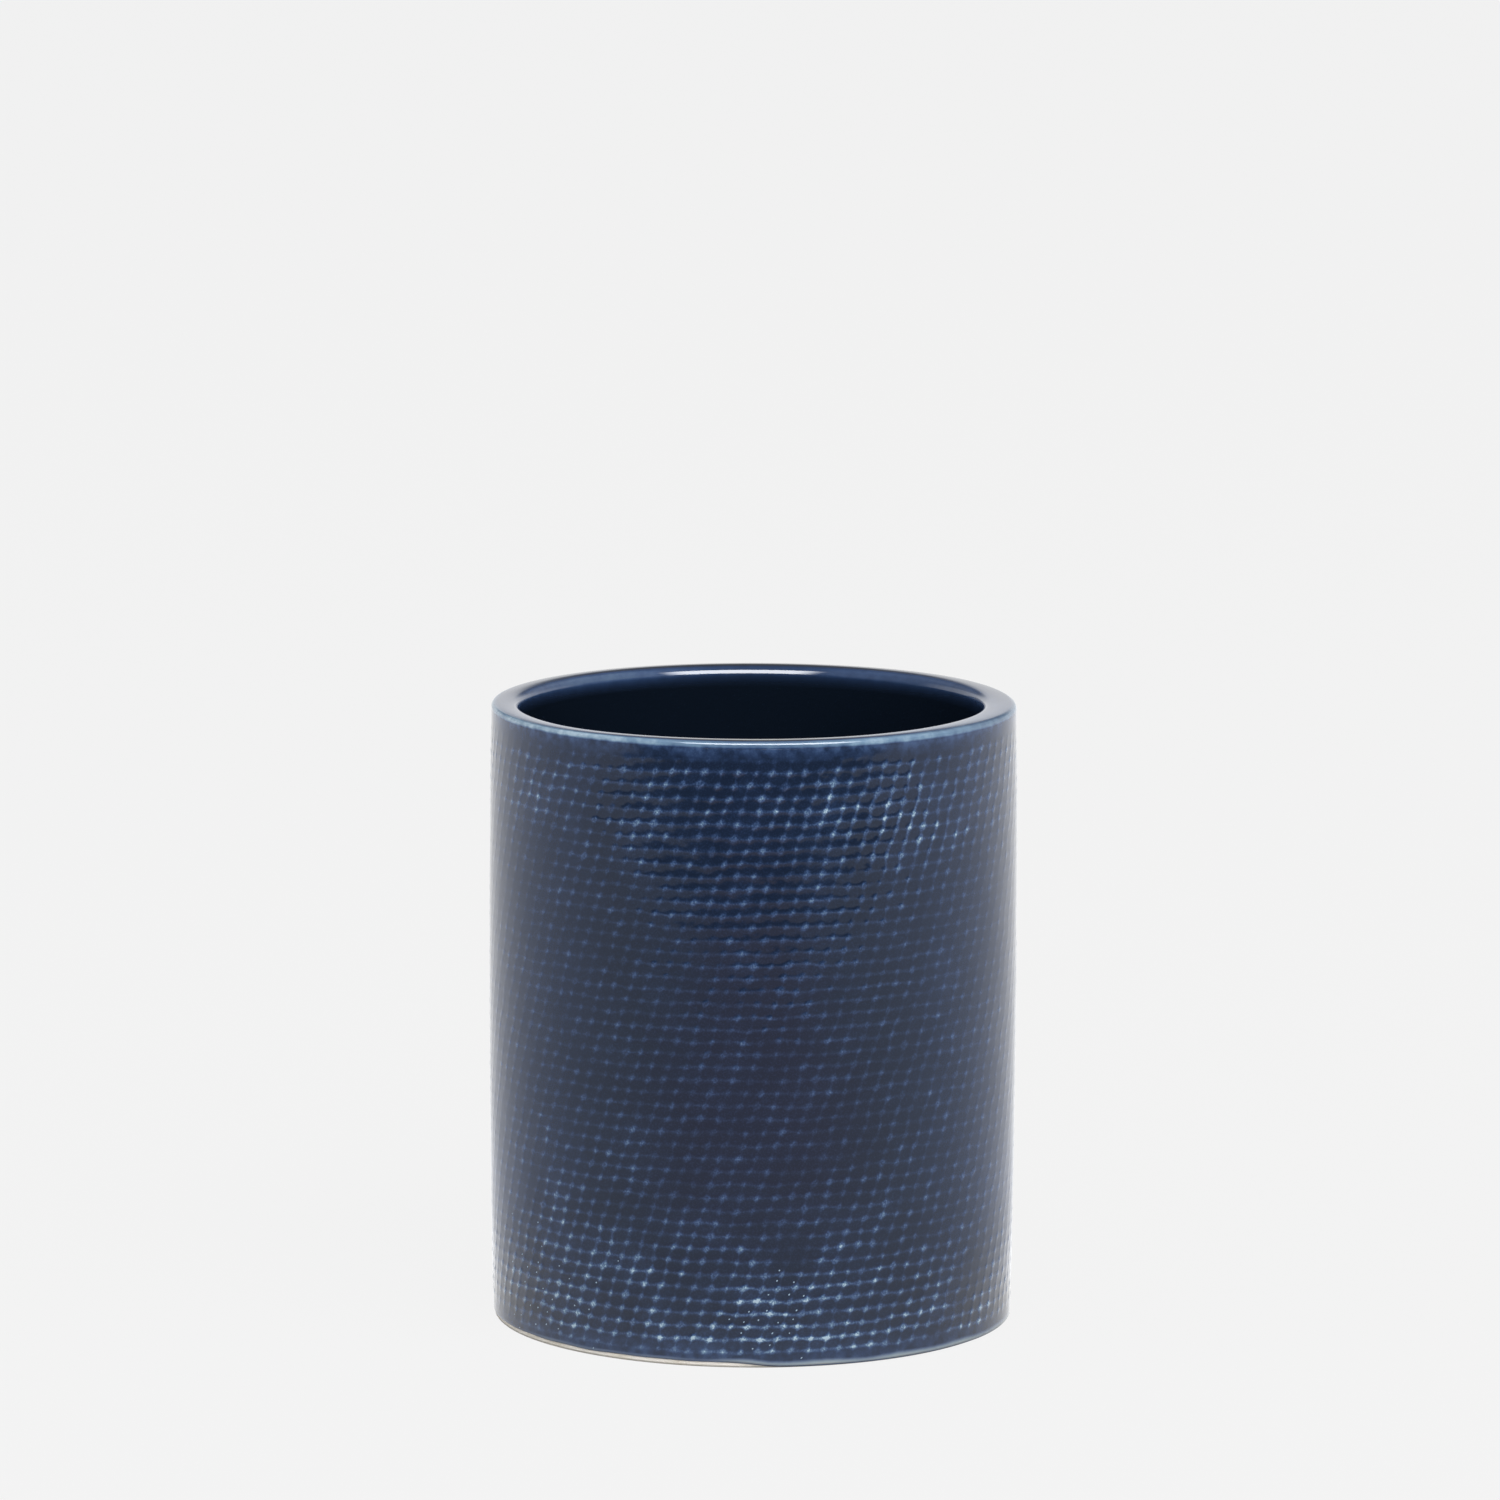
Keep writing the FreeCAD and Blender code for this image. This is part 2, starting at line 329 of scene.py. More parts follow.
def clothCoordinates(azimuth, height):
    turns = azimuth / (2 * math.pi)
    share = height / cup["lipTop"]
    column = turns * cloth["columnsRound"] - height * leanStep + cloth["columnStart"]
    middle, reach = cloth["columnStraight"]
    shift, tall = cloth["footShift"]
    drift = cloth["columnDrift"] * np.sin(azimuth) * (share - middle) / reach
    column += drift - shift * np.exp(-height / tall)
    column += manyWaves(azimuth, height, cloth["columnWaves"])
    row = height / cloth["rowPitch"] - turns * cloth["rowsClimb"] + cloth["rowStart"]
    sway, crest = cloth["rowSway"]
    row += sway * np.cos(2 * math.pi * (share - crest)) * np.cos(azimuth)
    row += cloth["rowTilt"] * (1 - share) * np.sin(azimuth)
    row += manyWaves(azimuth, height, cloth["rowWaves"])
    return column, row


def patchField(azimuth, height, patches):
    total = 0
    for angle, level, size, *gain in patches:
        turned = (azimuth - math.radians(angle) + math.pi) % (2 * math.pi) - math.pi
        away = np.hypot(turned * cup["swellRadius"], height - level) / size
        total = total + (gain[0] if gain else 1) * np.exp(-away ** 2)
    return total


def pressure(azimuth, height):
    press = cloth["pressBase"]
    for much, level, size in cloth["pressBands"]:
        press = press + much * np.exp(-((height - level) / size) ** 2)
    press += patchField(azimuth, height, pressPatches)
    press *= 1 + manyWaves(azimuth, height, cloth["pressWaves"])
    (top, topFade), (foot, footFade) = cloth["plainTop"], cloth["plainFoot"]
    edges = np.clip((top - height) / topFade, 0, 1) * np.clip((height - foot) / footFade, 0, 1)
    return np.clip(press, *cloth["pressRange"]) * edges


def cellChance(column, row, seed):
    # One number from 0 to 1 for each crossing of the cloth
    spare = 6  # rows past each end
    rows = int(cup["lipTop"] / cloth["rowPitch"]) + 2 * spare
    table = np.random.default_rng(seed).random((rows, cloth["columnsRound"]))
    wraps = np.floor_divide(np.round(column), cloth["columnsRound"]).astype(int)
    cellColumn = np.round(column).astype(int) % cloth["columnsRound"]
    cellRow = np.round(row).astype(int) + wraps * cloth["rowsClimb"] + spare
    return table[np.clip(cellRow, 0, rows - 1), cellColumn]


def relief(column, row, press):
    # Pits where the threads crossed, low ridges between them and a nub at each corner
    across, up = column - np.round(column), row - np.round(row)
    across, up = across * columnPitch, up * cloth["rowPitch"]
    nub = np.exp(-(across / cloth["nubWidth"]) ** 2 - (up / cloth["nubTall"]) ** 2)
    rowRidge = np.exp(-(up / cloth["ridgeWidth"]) ** 2)
    columnRidge = np.exp(-(across / cloth["ridgeWidth"]) ** 2)
    ridge = np.maximum(rowRidge, cloth["columnRidgeShare"] * columnRidge)
    return press * (cloth["nubHeight"] * nub + cloth["ridgeHeight"] * (ridge - 1))


# Materials

# Where four numbers follow a name, a noise goes from the first to the second, and what it
# gives goes from the third to the fourth.
glazeLook = {
    "pitNavy": "#142034",
    # darker than the pits outside: painted shade for the inside of the cup; the lip and the recess,
    # in the same coat, get it too
    "paintedShadeInnerNavy": "#0D1520",
    "depths": [(0.15, "#253654"), (0.35, "#3A5075"), (0.60, "#5A728D"), (0.80, "#6E8AA4"),
               (1.0, "#A3B8C8")],
    "cloud": (7, 3),         # slow unevenness: its size, mm, and how fine its detail goes
    "streak": (1.8, 3),
    "roughness": (0.3, 0.7, 0.056, 0.091),
    "drier": 0.03,           # rougher where it lies thin
    "ior": 1.52,
    "bumpStrength": 0.3,
    "bumpDepth": 0.01,
    "lipBreak": 0.80,        # how thin the glaze runs on the lip's outer corner
    "lipBreakCrown": 0.28,   # on its top
    "lipBreakInside": 0.34,  # and on its inner rounding
    "lipCorner": (0.25, 1.0),    # where the corner ends, mm in from the outside
    "lipInside": (3.1, 4.1),     # and where the inner rounding begins
    "lipRunDown": ([1.1, 1.7, 2.4, 3.4], [1, 0.4, 0.15, 0]),     # how it fades, mm down
    "lipBreakTall": 0.16,    # how far the pale edge reaches down the wall, mm
    "lipBreakUp": 0.47,      # and how far up until it is full
    "lipBreakWander": 0.45,  # how uneven its lower edge is
    "lipBreakDrop": 0.22,
    "thinSpots": (0.3, 0.7, 0.85, 1.1),
    "hazeSpots": (0.35, 0.65, 0.25, 1.3),
    "lipHaze": 0.26,         # the weak blue below the lip's pale edge
    "lipHazeTall": 2.3,
    "footBreak": 0.78,       # how thin it runs at the foot
    "footBreakTall": 1.15,
    "footBreakWander": 0.5,
    "footHaze": 0.21,        # and the weak blue above that
    "footHazeTall": 4.0,
    "footClay": "#9DA2A0",   # the clay that shows through it there
    "footClayFade": 2,
    # painted contact shade: the glaze turns grey right at its lower edge, where the foot meets the
    # table
    "footPaintedShadeGrey": "#3C3D40",
    "footPaintedShade": 0.8,
    "footPaintedShadeTall": (0.2, 0.55),   # from full to none, mm
}
weaveLook = {
    "nubHalfWidth": 0.48,    # of the thin glaze on a nub, mm
    "nubHalfTall": 0.55,
    "nub": 0.50,
    "web": (0.35, 0.65, 0.372, 0.806),
    "ridge": 0.32,
    "hollow": 0.45,
    "nubSizes": (0.8, 1.35),     # from the widest to the slimmest
    "nubReach": 1.7,
    "hollowShare": 0.26,     # of the nubs, which glaze ran off at the top
    "hollowReach": (0.25, 0.8),
    "pitHalfSizes": (0.57, 0.455),   # half of a pit's oval, in threads
    "webEdge": (0.70, 1.45),
    "webFalloff": 1.4,
    "rowRidgeEdge": (0.02, 0.24),    # from full to none, in threads from its middle
    "columnRidgeEdge": (0.02, 0.2),
    "ridgeSpots": (0.4, 0.6, 0.3, 1.5),
    "haze": (0.42, 0.7, 0, 0.09),    # uneven blue between the nubs
    "mottle": (0.35, 0.65, 0.6, 1.4),
    "grain": (0.3, 2),
    "wiggle": (1.6, 2),
    "wiggleFar": 0.16,       # in threads
    "strength": 0.62,
    "bump": 3.0,
    "pinholeEdge": (0.091, 0.156),   # from its middle, mm
    "pinholeSpread": (0.5, 0.4, 0),  # how far they stray in their pit, in threads
    "pinholeMiddle": (0.80, 0.65, 0),
    "speckle": (0.5, 0.75, 0, 0.05),
}


def navyGlaze(name, pressed):
    # Cobalt navy glaze, poured and fired glossy. It lies thick and dark in the pits and
    # runs thin and pale blue over every raised edge, with a hard wet shine on top.
    material, tree = newMaterial(name)
    where = addNode(tree, "TexCoord").outputs["Object"]
    level = addNode(tree, "SeparateXYZ", [where]).outputs[2]
    cloud, streak = (
        addNode(tree, "TexNoise", {"Vector": where, "Scale": 1 / (size * mm), "Detail": detail})
        for size, detail in (glazeLook["cloud"], glazeLook["streak"]))
    # the pale line where the glaze pulls away from the lip's edges
    seam = cup["seam"] * mm
    wander = addNode(tree, "Math", [streak, glazeLook["lipBreakWander"] * mm, level],
                     operation="MULTIPLY_ADD")
    wander = addNode(tree, "Math", [wander, glazeLook["lipBreakDrop"] * mm], operation="SUBTRACT")
    breakLow = seam - glazeLook["lipBreakTall"] * mm
    breakHigh = seam + glazeLook["lipBreakUp"] * mm
    lipUp = addNode(tree, "MapRange", [wander, breakLow, breakHigh], **smooth)
    fromAxis = addNode(tree, "VectorMath", [where, (1, 1, 0)], operation="MULTIPLY")
    fromAxis = addNode(tree, "VectorMath", [fromAxis], operation="LENGTH").outputs["Value"]
    inside = addNode(tree, "Math", [fromAxis, (cup["lipRadius"] - cup["lipMiddle"]) * mm],
                     operation="LESS_THAN")
    lipUp = addNode(tree, "Math", [lipUp, inside], operation="MAXIMUM")
    lipGain = addNode(tree, "Attribute", attribute_name="lipThin").outputs["Fac"]
    streaks = addNode(tree, "MapRange", [streak, *glazeLook["thinSpots"]])
    thin = lipUp
    for gain in (streaks, lipGain):
        thin = addNode(tree, "Math", [thin, gain], operation="MULTIPLY")
    bumpHeight = streak
    # the inside coat starts from the darker navy, painted shade for the inside of the cup
    depths = [(0.0, glazeLook["paintedShadeInnerNavy"])]
    if pressed:
        depths = [(0.0, glazeLook["pitNavy"])]
        aboveEdge, footGain, press, air, rowPress, columnPress = (
            addNode(tree, "Attribute", attribute_name=field).outputs["Fac"]
            for field in ("aboveEdge", "footRun", "press", "air", "rowPress", "columnPress"))
        grain, wiggle = (
            addNode(tree, "TexNoise", {"Vector": where, "Scale": 1 / (size * mm), "Detail": detail})
            for size, detail in (weaveLook["grain"], weaveLook["wiggle"]))
        # the weak blue below the lip's pale line
        hazeLow = seam - glazeLook["lipHazeTall"] * mm
        lipHaze = addNode(tree, "MapRange", [wander, hazeLow, seam, 0.0, glazeLook["lipHaze"]])
        hazy = addNode(tree, "MapRange", [streak, *glazeLook["hazeSpots"]])
        lipHaze = addNode(tree, "Math", [lipHaze, hazy], operation="MULTIPLY")
        # the thin rolled edge at the foot
        rolled = cup["glaze"] * mm
        streakRun = addNode(tree, "Math", [streak, glazeLook["footBreakWander"] * mm],
                            operation="MULTIPLY")
        footTall = addNode(tree, "Math", [footGain, glazeLook["footBreakTall"] * mm, streakRun],
                           operation="MULTIPLY_ADD")
        foot = addNode(tree, "MapRange", [aboveEdge, rolled, footTall, 1.0, 0.0], **smooth)
        footGain = addNode(tree, "Math", [footGain, glazeLook["footBreak"]], operation="MULTIPLY")
        foot = addNode(tree, "Math", [foot, footGain], operation="MULTIPLY")
        hazeHigh = glazeLook["footHazeTall"] * mm
        footHaze = addNode(tree, "MapRange",
                           [aboveEdge, rolled, hazeHigh, glazeLook["footHaze"], 0.0])
        footHaze = addNode(tree, "Math", [footHaze, hazy], operation="MULTIPLY")
        for layer in (lipHaze, foot, footHaze):
            thin = addNode(tree, "Math", [thin, layer], operation="MAXIMUM")
        threads = addNode(tree, "UVMap", uv_map="cloth")
        # the threads don't run quite straight
        wide = weaveLook["wiggleFar"]
        wiggled = addNode(tree, "VectorMath",
                          [wiggle.outputs["Color"], (wide, wide, wide), threads],
                          operation="MULTIPLY_ADD")
        wiggled = addNode(tree, "VectorMath", [wiggled, (wide / 2, wide / 2, wide / 2)],
                          operation="SUBTRACT")
        wiggled = addNode(tree, "VectorMath", [wiggled, (1, 1, 0)], operation="MULTIPLY")
        # where this point lies from the nearest nub, from -0.5 to 0.5 of a thread
        offset = addNode(tree, "VectorMath", [wiggled, (0.5, 0.5, 0.5), (-0.5, -0.5, -0.5)],
                         operation="WRAP")
        corner = addNode(tree, "VectorMath", [wiggled, offset], operation="SUBTRACT")
        chance = addNode(tree, "TexWhiteNoise", {"Vector": corner}, noise_dimensions="2D")
        dice = addNode(tree, "SeparateXYZ", [chance.outputs["Color"]])
        perThread = (columnPitch / weaveLook["nubHalfWidth"],
                     cloth["rowPitch"] / weaveLook["nubHalfTall"], 0)
        nubPlace = addNode(tree, "VectorMath", [offset, perThread], operation="MULTIPLY")
        away = addNode(tree, "VectorMath", [nubPlace], operation="LENGTH").outputs["Value"]
        nubSize = addNode(tree, "MapRange", [dice.outputs[1], 0.0, 1.0, *weaveLook["nubSizes"]])
        away = addNode(tree, "Math", [away, nubSize], operation="MULTIPLY")
        nub = addNode(tree, "MapRange", [away, 0.0, weaveLook["nubReach"], 1.0, 0.0], **smoother)
        hollow = addNode(tree, "MapRange",
                         [away, *weaveLook["hollowReach"], weaveLook["hollow"], 0.0], **smooth)
        hollowHere = addNode(tree, "Math", [dice.outputs[0], weaveLook["hollowShare"]],
                             operation="LESS_THAN")
        hollow = addNode(tree, "Math", [hollow, hollowHere], operation="MULTIPLY")
        # the pits are ovals, so the raised web between them is a star at each nub
        fromNub = addNode(tree, "VectorMath", [offset], operation="ABSOLUTE")
        fromPit = addNode(tree, "VectorMath", [(0.5, 0.5, 0), fromNub], operation="SUBTRACT")
        halfWide, halfTall = weaveLook["pitHalfSizes"]
        oval = addNode(tree, "VectorMath", [fromPit, (1 / halfWide, 1 / halfTall, 0)],
                       operation="MULTIPLY")
        oval = addNode(tree, "VectorMath", [oval], operation="LENGTH").outputs["Value"]
        web = addNode(tree, "MapRange", [oval, *weaveLook["webEdge"]])
        web = addNode(tree, "Math", [web, weaveLook["webFalloff"]], operation="POWER")
        webGain = addNode(tree, "MapRange", [cloud, *weaveLook["web"]])
        weave = addNode(tree, "Math", [web, webGain], operation="MULTIPLY")
        rowSide = addNode(tree, "SeparateXYZ", [fromNub])
        # ridges along the rows and along the columns
        patchy = addNode(tree, "MapRange", [streak, *weaveLook["ridgeSpots"]])
        for side, key, gain in ((1, "rowRidgeEdge", rowPress), (0, "columnRidgeEdge", columnPress)):
            ridge = addNode(tree, "MapRange",
                            [rowSide.outputs[side], *weaveLook[key], weaveLook["ridge"], 0.0],
                            **smoother)
            ridge = addNode(tree, "Math", [ridge, patchy], operation="MULTIPLY")
            weave = addNode(tree, "Math", [ridge, gain, weave], operation="MULTIPLY_ADD")
        haze = addNode(tree, "MapRange", [cloud, *weaveLook["haze"]])
        weave = addNode(tree, "Math", [weave, haze], operation="ADD")
        weave = addNode(tree, "Math", [nub, weaveLook["nub"], weave], operation="MULTIPLY_ADD")
        weave = addNode(tree, "Math", [weave, hollow], operation="SUBTRACT")
        mottle = addNode(tree, "MapRange", [grain, *weaveLook["mottle"]])
        for gain in (mottle, press):
            weave = addNode(tree, "Math", [weave, gain], operation="MULTIPLY")
        thin = addNode(tree, "Math", [weave, weaveLook["strength"], thin], operation="MULTIPLY_ADD")
        bumpHeight = addNode(tree, "Math", [weave, weaveLook["bump"], streak],
                             operation="MULTIPLY_ADD")
        # pinholes, where air came out through the glaze and the clay shows
        pit = addNode(tree, "VectorMath", [wiggled], operation="FLOOR")
        pitChance = addNode(tree, "TexWhiteNoise", {"Vector": pit}, noise_dimensions="2D")
        pinPlace = addNode(tree, "VectorMath", [wiggled, pit], operation="SUBTRACT")
        pinPlace = addNode(tree, "VectorMath",
                           [pitChance.outputs["Color"], weaveLook["pinholeSpread"], pinPlace],
                           operation="MULTIPLY_ADD")
        pinPlace = addNode(tree, "VectorMath", [pinPlace, weaveLook["pinholeMiddle"]],
                           operation="SUBTRACT")
        pinPlace = addNode(tree, "VectorMath", [pinPlace, (columnPitch, cloth["rowPitch"], 0)],
                           operation="MULTIPLY")
        pinAway = addNode(tree, "VectorMath", [pinPlace], operation="LENGTH").outputs["Value"]
        pinHere = addNode(tree, "Math", [pitChance.outputs["Value"], air], operation="LESS_THAN")
        pinhole = addNode(tree, "MapRange", [pinAway, *weaveLook["pinholeEdge"], 1.0, 0.0])
        pinhole = addNode(tree, "Math", [pinhole, pinHere], operation="MULTIPLY")
        thin = addNode(tree, "Math", [thin, pinhole], operation="MAXIMUM")
        speckle = addNode(tree, "MapRange", [grain, *weaveLook["speckle"]])
        thin = addNode(tree, "Math", [thin, speckle], operation="ADD")
    depth = addNode(tree, "ValToRGB", [thin], stops=depths + glazeLook["depths"])
    if pressed:
        through = addNode(tree, "Math", [foot, glazeLook["footClayFade"]], operation="POWER")
        depth = addNode(tree, "MixRGB", [through, depth, colour(glazeLook["footClay"])])
        # painted contact shade: grey over the lowest fraction of a millimetre, stronger on the
        # right, where the glaze runs nearly to the table
        low, high = metres(glazeLook["footPaintedShadeTall"])
        paintedShade = addNode(tree, "MapRange",
                         [aboveEdge, low, high, glazeLook["footPaintedShade"], 0.0], **smooth)
        paintedShade = addNode(tree, "Math", [paintedShade, footGain], operation="MULTIPLY")
        depth = addNode(tree, "MixRGB", [paintedShade, depth, colour(glazeLook["footPaintedShadeGrey"])])
    rough = addNode(tree, "MapRange", [cloud, *glazeLook["roughness"]])
    rough = addNode(tree, "Math", [thin, glazeLook["drier"], rough], operation="MULTIPLY_ADD")
    bump = addNode(tree, "Bump", {"Height": bumpHeight, "Strength": glazeLook["bumpStrength"],
                   "Distance": glazeLook["bumpDepth"] * mm})
    surface = addNode(tree, "BsdfPrincipled", {"Base Color": depth, "Roughness": rough,
                      "IOR": glazeLook["ior"], "Normal": bump})
    addNode(tree, "OutputMaterial", [surface])
    return material


clayLook = {
    "grain": (0.35, 4),      # size, mm, and detail
    "patch": (5, 2),
    "grainShare": 0.45,
    "tones": [(0.45, "#C9C2B5"), (0.62, "#D9D3C7"), (0.85, "#E2DDD5")],
    # painted contact shade along the foot's lowest edge
    "paintedShadeTone": "#6E6A62",
    "paintedShade": 0.62,
    "paintedShadeTall": (0.25, 0.5),   # from full to none, above the shelf
    "roughness": 0.85,
    "grainStrength": 0.6,
    "grainDepth": 0.05,
}


def bareClay():
    # Fired stoneware clay, sponged smooth at the foot: matte, warm cream, with fine dark
    # grog. It gives the eye a dry pale line under the wet dark glaze.
    material, tree = newMaterial("spongedStonewareClay")
    where = addNode(tree, "TexCoord").outputs["Object"]
    grain, patch = (
        addNode(tree, "TexNoise", {"Vector": where, "Scale": 1 / (size * mm), "Detail": detail})
        for size, detail in (clayLook["grain"], clayLook["patch"]))
    both = addNode(tree, "Math", [grain, clayLook["grainShare"], patch], operation="MULTIPLY_ADD")
    tone = addNode(tree, "ValToRGB", [both], stops=clayLook["tones"])
    # painted contact shade: grey along the foot's lowest edge, where it stands on the table
    level = addNode(tree, "SeparateXYZ", [where]).outputs[2]
    low, high = metres(clayLook["paintedShadeTall"])
    paintedShade = addNode(tree, "MapRange", [level, low, high, clayLook["paintedShade"], 0.0], **smooth)
    tone = addNode(tree, "MixRGB", [paintedShade, tone, colour(clayLook["paintedShadeTone"])])
    bump = addNode(tree, "Bump", {"Height": grain, "Strength": clayLook["grainStrength"],
                   "Distance": clayLook["grainDepth"] * mm})
    surface = addNode(tree, "BsdfPrincipled", {"Base Color": tone, "Normal": bump,
                      "Roughness": clayLook["roughness"]})
    addNode(tree, "OutputMaterial", [surface])
    return material


pressedGlaze = navyGlaze("pressedNavyGlaze", True)
smoothGlaze = navyGlaze("pouredNavyGlaze", False)
clay = bareClay()
print("materials: three")


# The outer coat

outerCoat = {
    "samplesPerColumn": 8,
    "skinRings": 330,
    "backRings": 26,
    "edgeRings": 6,
    "edgeHigh": 0.86,        # where the coat stops above the table, on the left
    "edgeLow": 0.12,         # and on the right
    "edgeTurn": (0.02, 0.035),   # where it changes at the front, and how gently
    "edgeBack": (0.5, 0.8),  # how much lower it is at the back, and how far round
    "edgeWaves": [(0.05, 9, 8)],
    "edgeWaveLow": 0.3,
    "edgeReach": 3,          # how far up the rings follow the edge
    "run": (0.48, 0.52),     # how thin it ran at the foot, and how much more on the right
    "runTurn": (0.06, 0.06),
    "runWaves": [(0.12, 12, 11)],
    "nubChance": (0.6, 0.8),     # the weakest nub, and how much more the strongest gets
    "unevenness": 0.010,     # slow swells in the glaze, that bend the reflections
    "swells": [(1, 11, 21), (0.5, 4.5, 22)],
    "calmSeam": 1.5,         # towards the seam they fade out
    "pinholeChance": 0.75,
}


def addOuterCoat():
    columns = cloth["columnsRound"] * outerCoat["samplesPerColumn"]
    around = np.linspace(-math.pi, math.pi, columns + 1)[None, :]
    glaze, seam = cup["glaze"], cup["seam"]
    edgeBase = outerCoat["edgeLow"]
    # heights of the rings: rolled edge, skin, seam, back
    roll = np.linspace(0, math.pi / 2, outerCoat["edgeRings"], endpoint=False)
    skin = np.linspace(edgeBase + glaze, seam, outerCoat["skinRings"])
    skin = np.insert(skin, -1, seam - cup["closeRing"])
    back = np.linspace(seam, edgeBase, outerCoat["backRings"], endpoint=False)
    nominal = np.concatenate([edgeBase + glaze * (1 - np.cos(roll)), skin, back])[:, None]
    leanTurn = leanStep * 2 * math.pi / cloth["columnsRound"]
    # the mesh's own seam lies in the middle of the pits
    seamTurn = (1 - cloth["columnStart"]) * 2 * math.pi / cloth["columnsRound"]
    twist = nominal[:, 0] * leanTurn + seamTurn
    azimuth = around + twist[:, None]
    edge = footEdgeHeight(azimuth)
    low = np.clip(1 - (nominal - edgeBase) / outerCoat["edgeReach"], 0, 1)
    height = nominal + (edge - edgeBase) * low
    outside = wallRadius(height)
    proud = np.ones(nominal.shape) * glaze
    proud[:len(roll), 0] = glaze * np.sin(roll)
    proud[len(roll) + len(skin):, 0] = 0
    radius = outside - glaze + proud
    column, row = clothCoordinates(azimuth, height)
    weakest, more = outerCoat["nubChance"]
    press = pressure(azimuth, height) * (weakest + more * cellChance(column, row, cloth["seed"]))
    onSkin = np.zeros(nominal.shape)
    onSkin[len(roll):len(roll) + len(skin)] = 1
    radius = radius + relief(column, row, press) * onSkin
    swells = manyWaves(azimuth, height, outerCoat["swells"])
    calm = np.clip((cup["seam"] - height) / outerCoat["calmSeam"], 0, 1)
    radius = radius + outerCoat["unevenness"] * swells * onSkin * calm
    skinEnd = len(roll) + len(skin)
    piece = turnedMesh("outerGlaze", radius, height, (column, row), twist,
                       flatRings=(skinEnd - 1,), skin=(len(roll), skinEnd))
    fields = {"press": press,
              "air": patchField(azimuth, height, airPatches) * outerCoat["pinholeChance"],
              "rowPress": patchField(azimuth, height, rowPatches),
              "columnPress": patchField(azimuth, height, columnPatches),
              "aboveEdge": (height - edge) * mm,
              "footRun": footRun(azimuth),
              "lipThin": lipThinness(azimuth, radius, height)}
    for field, values in fields.items():
        setField(piece, field, (values * onSkin)[:, :-1].ravel())
    piece.data.materials.append(pressedGlaze)
    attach(piece, "root")
    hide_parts("outer_glaze")
    print("outer coat:", len(piece.data.polygons), "faces")


addOuterCoat()


# The liner coat, over the lip and down inside

linerCoat = {
    "columns": 396,
    "edgeRounds": (0.60, 0.35),  # the lip's outer edge, and how much softer it is on the right
    "softerAt": (1.5, 0.9),  # azimuth and width in radians
    "boreInset": 1.05,       # thicker glaze inside on the right, where the lip looks wider
    "insetAt": (1.45, 0.75),
    "insetFrom": (4, 30),    # it grows from above the floor over this height
    "insetSoft": 2.5,
    "lipRings": (14, 15, 17),    # edge, top and inner rounding
    "boreRings": (28, 15, 9),    # bore, corner and floor
    "lipRises": [(127, 102, 32, 0.24), (-140, 102, 28, 0.10), (53, 102, 22, 0.16),
                 (-50, 102, 15, -0.10), (0, 102, 34, 0.19)],
    "lipRiseFrom": (0.02, 0.4),  # how far above the seam they start, and over how much
    "leastRound": 0.02,
}


def softBand(azimuth, middle, width):  # 1 at the middle, and falls to 0 on both sides
    return np.exp(-((azimuth - middle) / width) ** 2)


